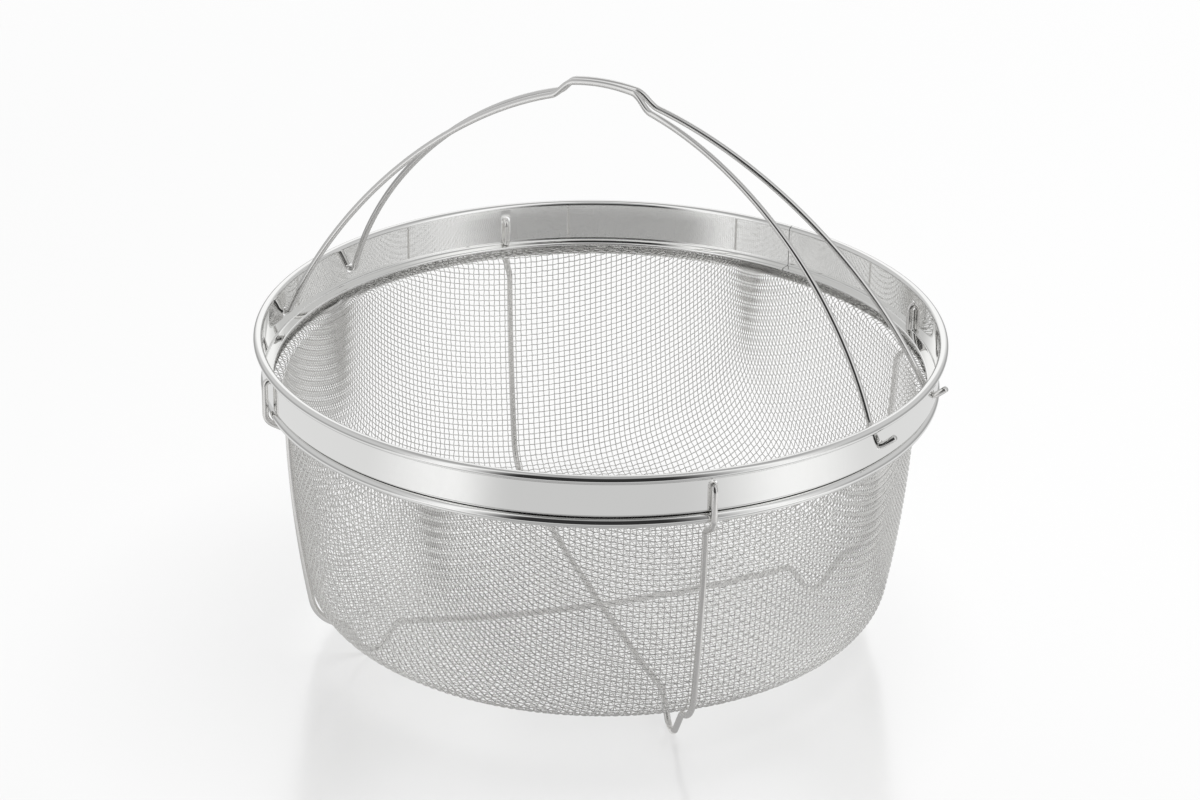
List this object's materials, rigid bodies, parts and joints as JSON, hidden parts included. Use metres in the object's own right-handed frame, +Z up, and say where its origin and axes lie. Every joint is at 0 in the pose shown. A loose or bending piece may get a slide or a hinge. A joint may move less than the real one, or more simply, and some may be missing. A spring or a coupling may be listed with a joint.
{
  "type": "draining basket",
  "caption": "Round steel mesh draining basket with a rolled rim band, bent wire feet and a pair of wire bail handles that swing on the band.",
  "frame": {"origin": "on the table, under the middle of the basket", "axes": "+Z up; X along the hinge lines of the bails; bail_front is on the -Y side"},
  "size_m": [0.2234, 0.222, 0.1904],
  "materials": {
    "band_steel": "polished stainless strip",
    "core_steel": "plain drawn wire inside the bead",
    "mesh_steel": "bright woven wire cloth",
    "wire_steel": "bright drawn wire"
  },
  "bodies": {
    "basket": {"rim_band": "band_steel", "rim_core_wire": "core_steel", "mesh_bowl": "mesh_steel", "foot_wire_upper": "wire_steel", "foot_wire_lower": "wire_steel"},
    "front_bail": {"bail_front": "wire_steel"},
    "rear_bail": {"bail_rear": "wire_steel"}
  },
  "joints": [
    {"name": "front_bail_swing", "type": "hinge", "parent": "basket", "child": "front_bail", "pos_m": [0, -0.021, 0.09797], "axis": [1, 0, 0], "range_deg": [0, 95]},
    {"name": "rear_bail_swing", "type": "hinge", "parent": "basket", "child": "rear_bail", "pos_m": [0, 0.021, 0.09797], "axis": [-1, 0, 0], "range_deg": [0, 95]}
  ]
}
